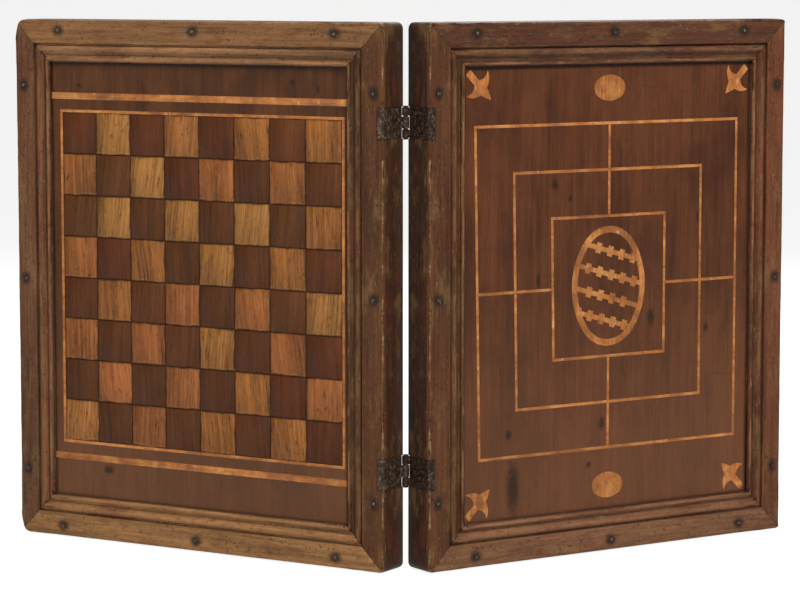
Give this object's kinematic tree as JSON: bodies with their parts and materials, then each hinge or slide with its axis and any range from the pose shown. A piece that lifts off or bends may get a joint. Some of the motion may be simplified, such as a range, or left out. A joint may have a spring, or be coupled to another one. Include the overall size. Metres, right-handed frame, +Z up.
{
  "type": "backgammon box",
  "caption": "Folding wooden games box opened like a book: hinged trays with an inlaid chessboard and merels board outside, a backgammon board inside, iron hinges and hooks",
  "frame": {"origin": "on the surface that the open box stands on, under the middle of its bounding box", "axes": "+Z up along the hinge pins, +X across the opened trays from the chessboard to the merels board, +Y from the spine towards the open inside; metres"},
  "size_m": [0.7138, 0.2416, 0.48],
  "materials": {
    "walnut": "waxed, worn",
    "dark_walnut": "waxed, worn",
    "fruitwood": "waxed, worn",
    "iron": "forged, dark"
  },
  "bodies": {
    "chess_tray": {"chess_spine_wall": "walnut", "chess_front_wall": "walnut", "chess_top_wall": "walnut", "chess_bottom_wall": "walnut", "chess_panel": "dark_walnut", "chess_bottom_band": "walnut", "chess_front_band": "walnut", "chess_top_band": "walnut", "chess_spine_band": "walnut", "chess_bottom_moulding": "walnut", "chess_front_moulding": "walnut", "chess_top_moulding": "walnut", "chess_spine_moulding": "walnut", "chess_band_nails": "iron", "chess_light_points": "fruitwood", "chess_dark_points": "dark_walnut", "chess_lower_leaf": "iron", "chess_upper_leaf": "iron", "chess_leaf_nails": "iron", "light_squares": "fruitwood", "dark_squares": "dark_walnut", "chess_border": "fruitwood", "chess_fillets": "fruitwood", "lower_hinge_pin": "iron", "upper_hinge_pin": "iron", "hook_pivots": "iron"},
    "morris_tray": {"morris_spine_wall": "walnut", "morris_front_wall": "walnut", "morris_top_wall": "walnut", "morris_bottom_wall": "walnut", "morris_panel": "dark_walnut", "morris_bottom_band": "walnut", "morris_front_band": "walnut", "morris_top_band": "walnut", "morris_spine_band": "walnut", "morris_bottom_moulding": "walnut", "morris_front_moulding": "walnut", "morris_top_moulding": "walnut", "morris_spine_moulding": "walnut", "morris_band_nails": "iron", "morris_light_points": "fruitwood", "morris_dark_points": "dark_walnut", "morris_lower_leaf": "iron", "morris_upper_leaf": "iron", "morris_leaf_nails": "iron", "morris_outer_square": "fruitwood", "morris_middle_square": "fruitwood", "morris_inner_square": "fruitwood", "morris_cross_strings": "fruitwood", "oval_ring": "fruitwood", "oval_bars": "fruitwood", "corner_flowers": "fruitwood", "small_ovals": "fruitwood", "catch_studs": "iron"},
    "lower_hook_body": {"lower_hook": "iron"},
    "upper_hook_body": {"upper_hook": "iron"}
  },
  "joints": [
    {"name": "spine_hinge", "type": "hinge", "parent": "chess_tray", "child": "morris_tray", "pos_m": [0, -0.0945, 0.24], "axis": [0, 0, 1], "range_deg": [-64.7, 115.3]},
    {"name": "lower_hook_pivot", "type": "hinge", "parent": "chess_tray", "child": "lower_hook_body", "pos_m": [-0.34719, 0.10985, 0.096], "axis": [0.8448, -0.5351, 0], "range_deg": [-90, 90]},
    {"name": "upper_hook_pivot", "type": "hinge", "parent": "chess_tray", "child": "upper_hook_body", "pos_m": [-0.34719, 0.10985, 0.384], "axis": [0.8448, -0.5351, 0], "range_deg": [-90, 90]}
  ]
}
